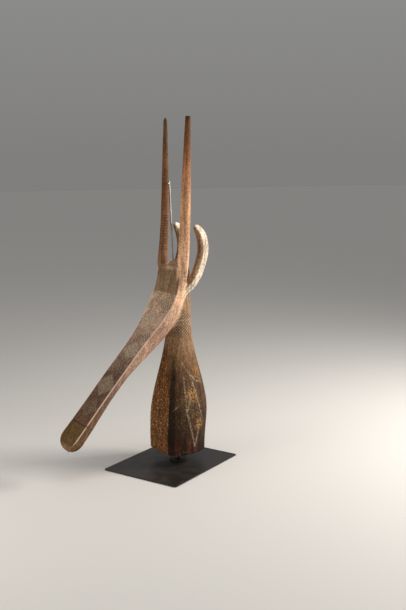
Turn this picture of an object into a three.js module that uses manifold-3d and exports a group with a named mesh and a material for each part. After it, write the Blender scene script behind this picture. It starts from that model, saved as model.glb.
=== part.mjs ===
import * as THREE from 'three';
import { mergeVertices } from 'three/addons/utils/BufferGeometryUtils.js';
import Module from 'manifold-3d';

// An antelope headdress carved from one block of wood: a hollow bell that stands on the head, a slim
// neck, a flat-faced head with a long muzzle, two upright horns and two curled ears behind them.
// It is held clear of a thin steel foot plate by a post inside the bell and by a slim back rod.
// Millimetres, +Z up. The muzzle points to -Y, the animal's left is +X. The origin is on the
// ground, under the middle of the bell.

// Steel stand
const PLATE = { width: 320, front: 243, back: 165, thickness: 5, corner: 6, turn: 24 };
const RIM_LIFT = 50;
const TOUCH_GAP = 0.3;
const POST = { radius: 8, flangeRadius: 32, flangeThickness: 5, padRadius: 26, padThickness: 8 };
const POST_HEADROOM = 6;
const ROD = { radius: 3.5, foot: [-132, 96], footRadius: 15, footThickness: 6, aboveCradle: 8 };
const CRADLE = { upHorn: 0.655, wire: 2.5, clearance: 1.2, halfAngle: 75 };

// Bell, neck and back of the skull, heights measured from the rim
const BELL = { radius: 100.5, rimRadius: 97.5, swellHeight: 130, neckHeight: 450 };
const NECK = { lowRadius: 49, topRadius: 41, lowHeight: 350, topHeight: 570 };
const THROAT = { bulge: 1.15, from: 230, full: 420 };
const BACK_BULGE = { bell: 1.16, neck: 1.03 };
const MIDDLE_LINE = { rimY: -9, neckY: 8, neckHeight: 380 };
const SKULL = { halfWidth: 58, frontDepth: 33, backDepth: 43, from: 585, full: 655, domeFrom: 662, top: 717 };
const DOME_SHARE = 0.2;

// The flat front face in side view, [Y, Z] from the rim up to its point on the neck
const FRONT_FACE = [[-82, 0], [-90, 130], [-67.5, 250], [-51.5, 404]];

// Hollow inside the bell
const WALL = 15;
const CAVITY = { spring: 95, top: 195, below: 20 };

// Head and muzzle, [Y, Z] down the middle of the face from the brow to the tip of the snout
const FACE_LINE = [[-36, 682], [-43, 640], [-58, 583], [-112, 497], [-276, 308], [-471, 84]];
const FACE = { browHalfWidth: 83, muzzleHalfWidth: 57, snoutHalfWidth: 60, crown: 2.5 };
const DEPTH = { brow: 64, jaw: 76, muzzle: 36, snout: 46 };
const CHEEK = { browDraw: 0.58, muzzleDraw: 0.74, bulge: 5, share: 0.82 };
const SNOUT_ROUND = 46;
const BROW_ROUND = { length: 30, draw: 0.14 };
const MOUTH = { depth: 34, gap: 4.5, level: 0.66, width: 200 };

// Horns and ears
const HORN = { pitch: 72, straightFrom: 700, taper: 1.7, fade: 0.35, fadeFrom: 540, fadeTo: 670 };
const LEFT_HORN = { root: 20.3, flare: 0, tip: 9.2, topHeight: 1224, lean: 3, cutFlat: true };
const RIGHT_HORN = { root: 16, flare: 4, tip: 6.2, topHeight: 1224, lean: -2, cutFlat: false };
const FLARE = { from: 680, to: 790 };
const EAR = { pitch: 70, rootInset: 32, halfWidth: 24.5, halfThickness: 11, groove: 5, tipFrom: 0.72 };
const EAR_LINE = [[-22, 580], [28, 650], [55, 706], [66, 757], [56, 806], [32, 841]];

const { lerp, smoothstep, clamp, degToRad } = THREE.MathUtils;
const wasm = await Module();
wasm.setup();

// A capped tube whose rings are laid out by place(along, angle, reach)
function loft(sides, rings, place) {
  const geometry = new THREE.CylinderGeometry(1, 1, 1, sides, rings);
  const position = geometry.attributes.position;
  for (let i = 0; i < position.count; i++) {
    const angle = Math.atan2(position.getX(i), position.getZ(i));
    const reach = Math.min(1, Math.round(Math.hypot(position.getX(i), position.getZ(i))));
    const point = place(0.5 - position.getY(i), angle, reach);
    position.setXYZ(i, point.x, point.y, point.z);
  }
  return geometry;
}

function toSolid(geometry) {
  const bare = geometry.clone();
  bare.deleteAttribute('normal');
  bare.deleteAttribute('uv');
  const merged = mergeVertices(bare, 1e-3);
  const index = Array.from(merged.index ? merged.index.array : merged.attributes.position.array.keys());
  const triVerts = [];
  for (let i = 0; i < index.length; i += 3) {
    const [a, b, c] = index.slice(i, i + 3);
    if (a !== b && b !== c && c !== a) triVerts.push(a, b, c);
  }
  return new wasm.Manifold(new wasm.Mesh({
    numProp: 3,
    vertProperties: new Float32Array(merged.attributes.position.array),
    triVerts: new Uint32Array(triVerts),
  }));
}

function toGeometry(solid) {
  const mesh = solid.getMesh();
  const geometry = new THREE.BufferGeometry();
  geometry.setAttribute('position', new THREE.BufferAttribute(mesh.vertProperties, 3));
  geometry.setIndex(new THREE.BufferAttribute(mesh.triVerts, 1));
  geometry.computeVertexNormals();
  return geometry;
}

// A side profile in Y and Z, extruded to both sides of the middle plane
function slab(profile, halfWidth) {
  const geometry = new THREE.ExtrudeGeometry(profile, { depth: 2 * halfWidth, bevelEnabled: false });
  geometry.translate(0, 0, -halfWidth);
  geometry.applyMatrix4(new THREE.Matrix4().makeBasis(
    new THREE.Vector3(0, 1, 0), new THREE.Vector3(0, 0, 1), new THREE.Vector3(1, 0, 0)));
  return geometry;
}

// Bell and neck
function neckRadius(height) {
  return lerp(NECK.lowRadius, NECK.topRadius, (height - NECK.lowHeight) / (NECK.topHeight - NECK.lowHeight));
}

function bellSection(height) {
  const rise = smoothstep(height, BELL.swellHeight, BELL.neckHeight);
  const rimDraw = 1 - smoothstep(height, 0, BELL.swellHeight);
  const wide = BELL.radius - rimDraw * (BELL.radius - BELL.rimRadius);
  const half = lerp(wide, neckRadius(height), rise);
  const skull = smoothstep(height, SKULL.from, SKULL.full);
  return {
    halfWidth: lerp(half, SKULL.halfWidth, skull),
    frontDepth: lerp(half * lerp(1, THROAT.bulge, smoothstep(height, THROAT.from, THROAT.full)),
      SKULL.frontDepth, skull),
    backDepth: lerp(half * lerp(BACK_BULGE.bell, BACK_BULGE.neck, rise), SKULL.backDepth, skull),
    middleY: lerp(MIDDLE_LINE.rimY, MIDDLE_LINE.neckY, smoothstep(height, 0, MIDDLE_LINE.neckHeight))
      * (1 - skull),
  };
}

// A column that follows those sections and closes in a dome; inset gives the inside of the wall
function columnSolid(inset, bottom, domeFrom, top) {
  const straightShare = 1 - DOME_SHARE;
  return toSolid(loft(32, 28, (along, angle, reach) => {
    const climb = Math.min(along / straightShare, 1);
    const turn = Math.max(0, along - straightShare) / DOME_SHARE * Math.PI / 2;
    const height = lerp(bottom, domeFrom, climb) + (top - domeFrom) * Math.sin(turn);
    const shrink = Math.max(Math.cos(turn), 0.05) * reach;
    const section = bellSection(height);
    const depth = Math.cos(angle) > 0 ? section.backDepth : section.frontDepth;
    return new THREE.Vector3(
      (section.halfWidth - inset) * Math.sin(angle) * shrink,
      section.middleY + (depth - inset) * Math.cos(angle) * shrink,
      height,
    );
  }));
}

// What lies behind the flat front face
function behindFrontFace(inset, bottom) {
  const far = 2 * BELL.radius;
  const [[rimY], swell, throat, apex] = FRONT_FACE;
  const profile = new THREE.Shape();
  profile.moveTo(far, bottom);
  profile.lineTo(rimY + inset, bottom);
  profile.bezierCurveTo(swell[0] + inset, swell[1], throat[0] + inset, throat[1], apex[0] + inset, apex[1]);
  profile.lineTo(apex[0] + inset, SKULL.top + WALL);
  profile.lineTo(far, SKULL.top + WALL);
  profile.closePath();
  return toSolid(slab(profile, far));
}

function bellAndNeck() {
  const outside = columnSolid(0, -1, SKULL.domeFrom, SKULL.top).intersect(behindFrontFace(0, 0));
  const inside = columnSolid(WALL, -CAVITY.below, CAVITY.spring, CAVITY.top)
    .intersect(behindFrontFace(WALL, -CAVITY.below));
  return outside.subtract(inside);
}

// Head and muzzle, swept down the face line
const faceCurve = new THREE.CatmullRomCurve3(
  FACE_LINE.map(([y, z]) => new THREE.Vector3(0, y, z)), false, 'centripetal');
const faceLength = faceCurve.getLength();

function faceSection(along) {
  const toMuzzle = smoothstep(along, 0.15, 0.43);
  const toSnout = smoothstep(along, 0.7, 0.95);
  const fromTip = (1 - along) * faceLength;
  const round = Math.sqrt(1 - 0.94 * Math.pow(1 - clamp(fromTip / SNOUT_ROUND, 0, 1), 2));
  const fromBrow = clamp(along * faceLength / BROW_ROUND.length, 0, 1);
  const browDraw = BROW_ROUND.draw * Math.pow(1 - fromBrow, 2);
  const width = lerp(FACE.browHalfWidth, FACE.muzzleHalfWidth, toMuzzle)
    + toSnout * (FACE.snoutHalfWidth - FACE.muzzleHalfWidth);
  const headDepth = lerp(DEPTH.brow, DEPTH.jaw, smoothstep(along, 0.05, 0.2));
  return {
    halfWidth: width * round * (1 - browDraw),
    depth: lerp(headDepth, DEPTH.muzzle, smoothstep(along, 0.2, 0.62))
      + toSnout * (DEPTH.snout - DEPTH.muzzle),
    under: lerp(CHEEK.browDraw, CHEEK.muzzleDraw, toMuzzle),
    round,
  };
}

// Outline of the section as [across, lift]: flat face, then slanting cheek, then rounded underside.
// It is met in whole steps, so that the arris along each edge of the face stays sharp.
const OUTLINE = { sides: 28, faceSteps: 6, cheekSteps: 4, underSteps: 4 };

function faceOutline(turn, section) {
  const side = Math.sign(turn) || 1;
  const step = Math.abs(turn) * OUTLINE.sides;
  const { halfWidth, depth, under } = section;
  const low = halfWidth * under;
  if (step <= OUTLINE.faceSteps) {
    const across = step / OUTLINE.faceSteps;
    return [side * halfWidth * across, FACE.crown * (1 - across ** 2)];
  }
  const down = (step - OUTLINE.faceSteps) / OUTLINE.cheekSteps;
  if (down <= 1) {
    const bulge = CHEEK.bulge * Math.sin(Math.PI * down);
    return [side * (lerp(halfWidth, low, down) + bulge), -CHEEK.share * depth * down];
  }
  const roll = (step - OUTLINE.faceSteps - OUTLINE.cheekSteps) / OUTLINE.underSteps * Math.PI / 2;
  return [side * low * Math.cos(roll), -depth * lerp(CHEEK.share, 1, Math.sin(roll))];
}

// Rings are even down to the snout and then follow its rounding
function headSolid() {
  const roundShare = SNOUT_ROUND / faceLength;
  const evenSteps = 0.75;
  return toSolid(loft(OUTLINE.sides, 24, (step, angle, reach) => {
    const turnIn = (step - evenSteps) / (1 - evenSteps) * Math.PI / 2;
    const along = step < evenSteps
      ? (1 - roundShare) * step / evenSteps
      : 1 - roundShare + roundShare * Math.sin(turnIn);
    const section = faceSection(along);
    const [across, lift] = faceOutline(angle / (2 * Math.PI), section);
    const middle = -section.depth / 2;
    const point = faceCurve.getPointAt(along);
    const tangent = faceCurve.getTangentAt(along);
    const out = new THREE.Vector3(0, tangent.z, -tangent.y);
    const level = middle + (lift - middle) * section.round * reach;
    return point.addScaledVector(out, level).add(new THREE.Vector3(across * reach, 0, 0));
  }));
}

function mouthSlit() {
  const tip = faceCurve.getPointAt(1);
  const tangent = faceCurve.getTangentAt(1);
  const slit = new THREE.BoxGeometry(MOUTH.width, 2 * MOUTH.depth, MOUTH.gap);
  slit.rotateX(Math.atan2(tangent.z, tangent.y));
  const out = new THREE.Vector3(0, tangent.z, -tangent.y);
  const place = tip.clone().addScaledVector(out, -DEPTH.snout * MOUTH.level);
  slit.translate(place.x, place.y, place.z);
  return toSolid(slit);
}

// A horn runs down past its root into the cheek, where it fades into the edge of the face
function hornLine(side, horn) {
  return new THREE.CatmullRomCurve3([
    new THREE.Vector3(side * (HORN.pitch - 24), -30, 545),
    new THREE.Vector3(side * (HORN.pitch - 6), -24, 618),
    new THREE.Vector3(side * HORN.pitch, -19, 695),
    new THREE.Vector3(side * HORN.pitch, -9, 860),
    new THREE.Vector3(side * (HORN.pitch + 2), horn.lean, horn.topHeight),
  ], false, 'centripetal');
}

function hornRadius(horn, height) {
  const upHorn = clamp((height - HORN.straightFrom) / (horn.topHeight - HORN.straightFrom), 0, 1);
  const rootFlare = horn.flare * (1 - smoothstep(height, FLARE.from, FLARE.to));
  const fadeIn = smoothstep(height, HORN.fadeFrom, HORN.fadeTo);
  const swell = horn.root * lerp(HORN.fade, 1, fadeIn) + rootFlare;
  return lerp(swell, horn.tip, Math.pow(upHorn, HORN.taper));
}

function hornSolid(side, horn) {
  const line = hornLine(side, horn);
  return toSolid(loft(14, 18, (along, angle, reach) => {
    const point = line.getPointAt(along);
    const tipRound = horn.cutFlat ? 1 : Math.sqrt(1 - 0.8 * Math.pow(smoothstep(along, 0.975, 1), 2));
    const radius = hornRadius(horn, point.z) * tipRound * reach;
    return point.add(new THREE.Vector3(radius * Math.sin(angle), radius * Math.cos(angle), 0));
  }));
}

// A long ear, curled forward at the tip, hollowed by a groove down its front
function earSolid(side) {
  const line = new THREE.CatmullRomCurve3(
    EAR_LINE.map(([y, z], i) => new THREE.Vector3(side * (EAR.pitch - (i ? 0 : EAR.rootInset)), y, z)),
    false, 'centripetal');
  return toSolid(loft(16, 16, (along, angle, reach) => {
    const point = line.getPointAt(along);
    const tangent = line.getTangentAt(along);
    const across = new THREE.Vector3(0, tangent.z, -tangent.y).normalize();
    const intoTip = clamp((along - EAR.tipFrom) / (1 - EAR.tipFrom), 0, 1);
    const tipRound = Math.sqrt(1 - 0.93 * Math.pow(intoTip, 2.4));
    const hollow = EAR.groove * Math.pow(Math.max(0, -Math.cos(angle)), 3);
    const wide = (EAR.halfWidth * Math.cos(angle) + hollow) * tipRound * reach;
    const thick = EAR.halfThickness * Math.sin(angle) * tipRound * reach;
    return point.addScaledVector(across, wide).add(new THREE.Vector3(thick, 0, 0));
  }));
}

function carvedWood() {
  let wood = bellAndNeck().add(headSolid());
  wood = wood.add(hornSolid(1, LEFT_HORN)).add(hornSolid(-1, RIGHT_HORN));
  wood = wood.add(earSolid(1)).add(earSolid(-1));
  return wood.subtract(mouthSlit());
}

// Steel stand
function footPlateGeometry() {
  const { width, front, back, thickness, corner } = PLATE;
  const half = width / 2;
  const outline = new THREE.Shape();
  outline.moveTo(-half + corner, -front);
  outline.lineTo(half - corner, -front);
  outline.absarc(half - corner, -front + corner, corner, -Math.PI / 2, 0);
  outline.absarc(half - corner, back - corner, corner, 0, Math.PI / 2);
  outline.absarc(-half + corner, back - corner, corner, Math.PI / 2, Math.PI);
  outline.absarc(-half + corner, -front + corner, corner, Math.PI, 1.5 * Math.PI);
  return new THREE.ExtrudeGeometry(outline, { depth: thickness, bevelEnabled: false, curveSegments: 5 });
}

function postGeometry() {
  const { radius, flangeRadius, flangeThickness, padRadius, padThickness } = POST;
  const top = RIM_LIFT + CAVITY.top - PLATE.thickness - 2 * TOUCH_GAP - POST_HEADROOM;
  const profile = [
    [0, 0], [flangeRadius, 0], [flangeRadius, flangeThickness], [radius, flangeThickness + 2],
    [radius, top - padThickness], [padRadius, top - padThickness], [padRadius, top - 3],
    [padRadius - 6, top], [0, top],
  ];
  const geometry = new THREE.LatheGeometry(profile.map(([r, z]) => new THREE.Vector2(r, z)), 24);
  geometry.rotateX(Math.PI / 2);
  return geometry;
}

// Half ring that holds the right horn from behind, and the rod that carries it
const cradlePoint = hornLine(-1, RIGHT_HORN).getPointAt(CRADLE.upHorn);
const cradledRadius = hornRadius(RIGHT_HORN, cradlePoint.z) + CRADLE.clearance;
cradlePoint.z += RIM_LIFT;

function cradleGeometry() {
  const radius = cradledRadius + CRADLE.wire;
  const halfAngle = degToRad(CRADLE.halfAngle);
  const steps = 14;
  const points = Array.from({ length: steps + 1 }, (_, i) => {
    const angle = Math.PI / 2 + lerp(-halfAngle, halfAngle, i / steps);
    return cradlePoint.clone().add(
      new THREE.Vector3(radius * Math.cos(angle), radius * Math.sin(angle), 0));
  });
  const section = new THREE.Shape();
  section.absarc(0, 0, CRADLE.wire, 0, 2 * Math.PI);
  return new THREE.ExtrudeGeometry(section, {
    steps, curveSegments: 10, bevelEnabled: false, extrudePath: new THREE.CatmullRomCurve3(points),
  });
}

function backRodSolid() {
  const ground = PLATE.thickness + TOUCH_GAP;
  const foot = new THREE.Vector3(...ROD.foot, ground);
  const top = cradlePoint.clone().add(
    new THREE.Vector3(0, cradledRadius + ROD.radius, ROD.aboveCradle));
  const length = foot.distanceTo(top);
  const rod = new THREE.CylinderGeometry(ROD.radius, ROD.radius, length, 12, 1);
  rod.translate(0, length / 2, 0);
  const lean = top.sub(foot).normalize();
  rod.applyQuaternion(new THREE.Quaternion().setFromUnitVectors(new THREE.Vector3(0, 1, 0), lean));
  rod.translate(foot.x, foot.y, foot.z);
  const disc = new THREE.CylinderGeometry(ROD.footRadius - 2, ROD.footRadius, ROD.footThickness, 24);
  disc.rotateX(Math.PI / 2);
  disc.translate(foot.x, foot.y, ground + ROD.footThickness / 2);
  const below = new THREE.BoxGeometry(60, 60, 20);
  below.translate(foot.x, foot.y, ground - 10);
  return toSolid(rod).add(toSolid(disc)).add(toSolid(cradleGeometry())).subtract(toSolid(below));
}

function named(name, geometry, material) {
  const mesh = new THREE.Mesh(geometry, material);
  mesh.name = name;
  return mesh;
}

const woodFinish = new THREE.MeshStandardMaterial({ color: 0x9a7049, roughness: 0.85, metalness: 0 });
const steelFinish = new THREE.MeshStandardMaterial({ color: 0x5a5754, roughness: 0.5, metalness: 0.9 });
const plateFinish = new THREE.MeshStandardMaterial({ color: 0x4a4643, roughness: 0.6, metalness: 0.8 });

const group = new THREE.Group();

const headdress = named('carved_headdress', toGeometry(carvedWood()), woodFinish);
headdress.position.z = RIM_LIFT;
group.add(headdress);

const plate = named('foot_plate', footPlateGeometry(), plateFinish);
plate.rotation.z = degToRad(PLATE.turn);
group.add(plate);

const post = named('support_post', postGeometry(), plateFinish);
post.position.z = PLATE.thickness + TOUCH_GAP;
group.add(post);

group.add(named('back_rod', toGeometry(backRodSolid()), steelFinish));

export default group;
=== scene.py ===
# %% [markdown]
# # An antelope headdress, carved from one block
# The headdress is one piece of wood: a hollow bell that sits on the head, a slim neck, a flat face
# with a long muzzle, two tall horns and two curled ears. A small steel stand holds it up.
# The imported model gives the exact place of every piece, so it is opened first.

# %% Open the imported model
import math

import bmesh
import bpy
import numpy as np
from mathutils import Matrix, Vector, kdtree, noise


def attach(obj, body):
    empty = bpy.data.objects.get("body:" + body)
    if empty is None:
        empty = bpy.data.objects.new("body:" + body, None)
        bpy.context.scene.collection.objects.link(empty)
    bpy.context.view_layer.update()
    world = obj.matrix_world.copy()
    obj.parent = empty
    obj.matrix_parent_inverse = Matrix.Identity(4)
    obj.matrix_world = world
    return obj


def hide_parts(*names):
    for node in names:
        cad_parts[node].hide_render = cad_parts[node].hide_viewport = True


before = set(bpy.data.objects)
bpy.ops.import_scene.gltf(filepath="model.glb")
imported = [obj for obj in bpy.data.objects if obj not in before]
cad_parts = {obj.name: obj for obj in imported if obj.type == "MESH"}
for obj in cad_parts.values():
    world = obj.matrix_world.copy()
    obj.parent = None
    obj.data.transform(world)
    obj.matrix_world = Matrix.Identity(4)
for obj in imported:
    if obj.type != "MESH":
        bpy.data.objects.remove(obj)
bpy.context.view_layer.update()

# %% [markdown]
# ## Small tools for shapes
# A carver works from a few sizes and blends one into the next. The same is done here: sizes are
# given at a few heights, and a smooth step blends between them. All sizes are in metres.
# Heights on the wood are measured from the rim of the bell, which is held clear of the ground.

# %% Blends
RIM_LIFT = 0.050


def smoothstep(value, low, high):
    part = np.clip((value - low) / (high - low), 0, 1)
    return part * part * (3 - 2 * part)


def blend(start, end, part):
    return start + (end - start) * part


def bump_between(value, low, high, soft):
    """1 between low and high, falling to 0 over soft on either side."""
    return smoothstep(value, low - soft, low) * (1 - smoothstep(value, high, high + soft))


# %% [markdown]
# A path through a few points, with its points spread evenly along its length. The curve is the
# centripetal one, which doesn't swing out between points that lie close together.

# %% A smooth path
class Path:
    def __init__(self, points, samples=300):
        points = np.array(points, float)
        before, after = 2 * points[0] - points[1], 2 * points[-1] - points[-2]
        around = np.vstack([before, points, after])
        part = np.linspace(0, 1, samples)[:, None]
        curve = []
        for a, b, c, d in zip(around, around[1:], around[2:], around[3:]):
            ab, bc, cd = (math.sqrt(np.linalg.norm(q - p)) for p, q in ((a, b), (b, c), (c, d)))
            leave = bc * ((b - a) / ab - (c - a) / (ab + bc) + (c - b) / bc)
            arrive = bc * ((c - b) / bc - (d - b) / (bc + cd) + (d - c) / cd)
            bend = -3 * b + 3 * c - 2 * leave - arrive
            twist = 2 * b - 2 * c + leave + arrive
            curve.append(b + leave * part + bend * part ** 2 + twist * part ** 3)
        self.curve = np.vstack(curve)
        steps = np.linalg.norm(np.diff(self.curve, axis=0), axis=1)
        self.reached = np.concatenate([[0], np.cumsum(steps)])
        self.length = self.reached[-1]

    def at(self, along):
        wanted = np.asarray(along) * self.length
        columns = [np.interp(wanted, self.reached, column) for column in self.curve.T]
        return np.stack(columns, -1)

    def direction(self, along):
        step = 1e-3
        ahead = self.at(np.clip(np.asarray(along) + step, 0, 1))
        behind = self.at(np.clip(np.asarray(along) - step, 0, 1))
        way = ahead - behind
        return way / np.linalg.norm(way, axis=-1, keepdims=True)


# %% [markdown]
# A skin is stretched over rings of points, like cloth over hoops. The two ends are closed with a
# fan to a middle point, so the result is a closed solid that can be joined to others.

# %% A skin over rings
def skin(name, rings):
    """rings has the shape (rings, points round, 3)."""
    count, around = rings.shape[:2]
    ends = [rings[0].mean(0), rings[-1].mean(0)]
    points = np.vstack([rings.reshape(-1, 3), ends])
    ring, side = np.meshgrid(np.arange(count - 1), np.arange(around), indexing="ij")
    following = (side + 1) % around
    corners = [ring * around + side, ring * around + following,
               (ring + 1) * around + following, (ring + 1) * around + side]
    quads = np.stack([c.ravel() for c in corners], 1).tolist()
    last = (count - 1) * around
    for s in range(around):
        t = (s + 1) % around
        quads.append([count * around, t, s])
        quads.append([count * around + 1, last + s, last + t])
    mesh = bpy.data.meshes.new(name)
    mesh.from_pydata(points.tolist(), [], quads)
    face_outwards(mesh)
    return mesh


def face_outwards(mesh):
    work = bmesh.new()
    work.from_mesh(mesh)
    bmesh.ops.remove_doubles(work, verts=work.verts, dist=1e-6)
    bmesh.ops.recalc_face_normals(work, faces=work.faces)
    work.to_mesh(mesh)
    work.free()


def place_in_scene(name, mesh):
    thing = bpy.data.objects.new(name, mesh)
    bpy.context.scene.collection.objects.link(thing)
    return thing


def positions(mesh):
    flat = np.empty(len(mesh.vertices) * 3, np.float32)
    mesh.vertices.foreach_get("co", flat)
    return flat.reshape(-1, 3).astype(float)


# %% [markdown]
# ## The bell and the neck
# The bell is a hollow cap, about 200 mm across, that narrows to a neck about 90 mm across. Its front
# is cut to a flat face that narrows to a point high on the neck. It could be turned like a bowl and
# then cut with a flat slab, but then the edge of the flat face would be ragged. Here each ring is
# laid out in two runs instead, one across the flat face and one round the rest, so that the edge
# between them is one clean line. The skin goes up the outside, and a second one lines the hollow.

# %% Sizes of the bell and the neck
BELL = dict(radius=0.1005, rim_radius=0.0975, swell=0.130, neck=0.450)
NECK = dict(low=0.049, top=0.041, low_height=0.350, top_height=0.570)
SKULL = dict(half_width=0.058, front=0.033, back=0.043, start=0.585, full=0.655, dome=0.662, top=0.717)
WALL = 0.015
HOLLOW = dict(spring=0.095, top=0.195)
FRONT_FACE = np.array([[-0.082, 0], [-0.090, 0.130], [-0.0675, 0.250], [-0.0515, 0.404]])
APEX_HEIGHT = 0.404


def bell_section(height):
    """Half width, depth to the front, depth to the back and middle of the section there."""
    rise = smoothstep(height, BELL["swell"], BELL["neck"])
    rim_draw = 1 - smoothstep(height, 0, BELL["swell"])
    wide = BELL["radius"] - rim_draw * (BELL["radius"] - BELL["rim_radius"])
    up_neck = (height - NECK["low_height"]) / (NECK["top_height"] - NECK["low_height"])
    half = blend(wide, blend(NECK["low"], NECK["top"], up_neck), rise)
    skull = smoothstep(height, SKULL["start"], SKULL["full"])
    front = blend(half * blend(1, 1.15, smoothstep(height, 0.230, 0.420)), SKULL["front"], skull)
    back = blend(half * blend(1.16, 1.03, rise), SKULL["back"], skull)
    middle = blend(-0.009, 0.008, smoothstep(height, 0, 0.380)) * (1 - skull)
    return blend(half, SKULL["half_width"], skull), front, back, middle


def front_face_place(height):
    part = np.linspace(0, 1, 200)[:, None]
    rim, swell, throat, apex = FRONT_FACE
    edge = ((1 - part) ** 3 * rim + 3 * part * (1 - part) ** 2 * swell
            + 3 * part ** 2 * (1 - part) * throat + part ** 3 * apex)
    return np.interp(height, edge[:, 1], edge[:, 0])


# %% One ring of the bell
FLAT_POINTS = 56
ROUND_POINTS = 132


def bell_ring(height, inset=0.0, shrink=1.0, section_height=None):
    """Points round the bell at one height, starting at the right edge of the flat face."""
    half, front, back, middle = bell_section(height if section_height is None else section_height)
    half, front, back = half - inset, front - inset, back - inset
    flat = front_face_place(height) + inset
    reach = np.clip((middle - flat) / (front * shrink), 0, 1)
    edge_turn = max(math.acos(reach), 0.22) if height < APEX_HEIGHT + 0.03 else 0.22
    face_turn = edge_turn * np.linspace(-1, 1, FLAT_POINTS + 1)
    if edge_turn > 0.22:
        face_turn = np.arcsin(np.sin(edge_turn) * np.linspace(-1, 1, FLAT_POINTS + 1))
    rest_turn = np.linspace(edge_turn, 2 * math.pi - edge_turn, ROUND_POINTS + 1)[1:-1]
    turn = np.concatenate([face_turn, rest_turn])
    depth = np.where(np.cos(turn) > 0, front, back)
    x = half * np.sin(turn) * shrink
    y = middle - depth * np.cos(turn) * shrink
    if height < APEX_HEIGHT:
        y = np.maximum(y, flat)
    return np.stack([x, y, np.full_like(x, height)], -1)


def bell_mesh():
    heights = np.concatenate([np.linspace(0, 0.420, 141), np.linspace(0.420, SKULL["dome"], 49)[1:]])
    outside = [bell_ring(h) for h in heights]
    for turn in np.linspace(0, math.pi / 2, 12)[1:]:
        height = SKULL["dome"] + (SKULL["top"] - SKULL["dome"]) * math.sin(turn)
        outside.append(bell_ring(height, shrink=max(math.cos(turn), 0.05)))
    inside = [bell_ring(h, inset=WALL) for h in np.linspace(0, HOLLOW["spring"], 12)]
    for turn in np.linspace(0, math.pi / 2, 14)[1:]:
        height = HOLLOW["spring"] + (HOLLOW["top"] - HOLLOW["spring"]) * math.sin(turn)
        inside.append(bell_ring(height, inset=WALL, shrink=max(math.cos(turn), 0.05)))
    rings = np.array(inside[::-1] + outside)
    return skin("bell", rings)


bell = place_in_scene("bell", bell_mesh())
print("bell and neck:", len(bell.data.vertices), "points")

# %% [markdown]
# ## The head and the muzzle
# The face is one long flat board that bends from the upright brow into the slanting muzzle. Under it
# the cheeks slant inwards to a rounded jaw. The section is laid out point by point so that both edges
# of the flat face stay sharp, and it is swept down the line of the face. Towards the snout the rings
# close in like the end of a ball.

# %% Sizes of the head
FACE_LINE = [[-0.036, 0.682], [-0.043, 0.640], [-0.058, 0.583], [-0.112, 0.497], [-0.276, 0.308],
             [-0.471, 0.084]]
face_path = Path(FACE_LINE)
BROW_HALF_WIDTH = 0.083
MUZZLE_HALF_WIDTH = 0.057
SNOUT_HALF_WIDTH = 0.060
SNOUT_ROUND = 0.046
BROW_ROUND = 0.030
print("the face is", round(face_path.length, 3), "m long from brow to snout")


def face_section(along):
    """Half width, depth, width under the jaw and closing of the section, from brow 0 to snout 1."""
    to_muzzle = smoothstep(along, 0.15, 0.43)
    to_snout = smoothstep(along, 0.7, 0.95)
    from_tip = np.clip((1 - along) * face_path.length / SNOUT_ROUND, 0, 1)
    closing = np.sqrt(1 - 0.94 * (1 - from_tip) ** 2)
    brow_draw = 0.14 * (1 - np.clip(along * face_path.length / BROW_ROUND, 0, 1)) ** 2
    width = blend(BROW_HALF_WIDTH, MUZZLE_HALF_WIDTH, to_muzzle)
    width = width + (SNOUT_HALF_WIDTH - MUZZLE_HALF_WIDTH) * to_snout
    head_depth = blend(0.064, 0.076, smoothstep(along, 0.05, 0.2))
    depth = blend(head_depth, 0.036, smoothstep(along, 0.2, 0.62)) + 0.010 * to_snout
    return width * closing * (1 - brow_draw), depth, blend(0.58, 0.74, to_muzzle), closing


# %% One ring of the head
FACE_RUN = np.linspace(0, 1, 41)
CHEEK_RUN = np.linspace(0, 1, 28)[1:]
JAW_RUN = np.linspace(0, 1, 11)[1:]


def head_ring(along):
    half, depth, jaw_share, closing = face_section(along)
    jaw = half * jaw_share
    across = [half * FACE_RUN, blend(half, jaw, CHEEK_RUN) + 0.005 * np.sin(math.pi * CHEEK_RUN),
              jaw * np.cos(JAW_RUN * math.pi / 2)]
    lift = [0.0025 * (1 - FACE_RUN ** 2), -0.82 * depth * CHEEK_RUN,
            -depth * blend(0.82, 1, np.sin(JAW_RUN * math.pi / 2))]
    across, lift = np.concatenate(across), np.concatenate(lift)
    across = np.concatenate([across, -across[-2:0:-1]])
    lift = np.concatenate([lift, lift[-2:0:-1]])
    level = -depth / 2 + (lift + depth / 2) * closing
    place, way = face_path.at(along), face_path.direction(along)
    y = place[0] + way[1] * level
    z = place[1] - way[0] * level
    return np.stack([across, y, z], -1)


def head_mesh():
    round_share = SNOUT_ROUND / face_path.length
    even = np.linspace(0, 1 - round_share, 236)
    closing_in = 1 - round_share + round_share * np.sin(np.linspace(0, math.pi / 2, 26)[1:])
    return skin("head", np.array([head_ring(a) for a in np.concatenate([even, closing_in])]))


head = place_in_scene("head", head_mesh())
print("head and muzzle:", len(head.data.vertices), "points")

# %% [markdown]
# ## The horns
# Each horn is a long taper that follows a nearly straight line, and its root runs down into the
# cheek. A shape that follows a line is what Geometry Nodes do well: a curve carries the thickness at
# each of its points, and one node sweeps a circle along it. The right horn also has bands of fine
# rings cut round it. One small tree cuts a band of rings, and it is used once for each band.

# %% Sizes of the horns
HORN_PITCH = 0.072
HORN_TOP = 1.224
LEFT_HORN = dict(name="left horn", side=1, root=0.0203, flare=0.0, tip=0.0092, lean=0.003, flat=True)
RIGHT_HORN = dict(name="right horn", side=-1, root=0.016, flare=0.004, tip=0.0062, lean=-0.002, flat=False)


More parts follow.
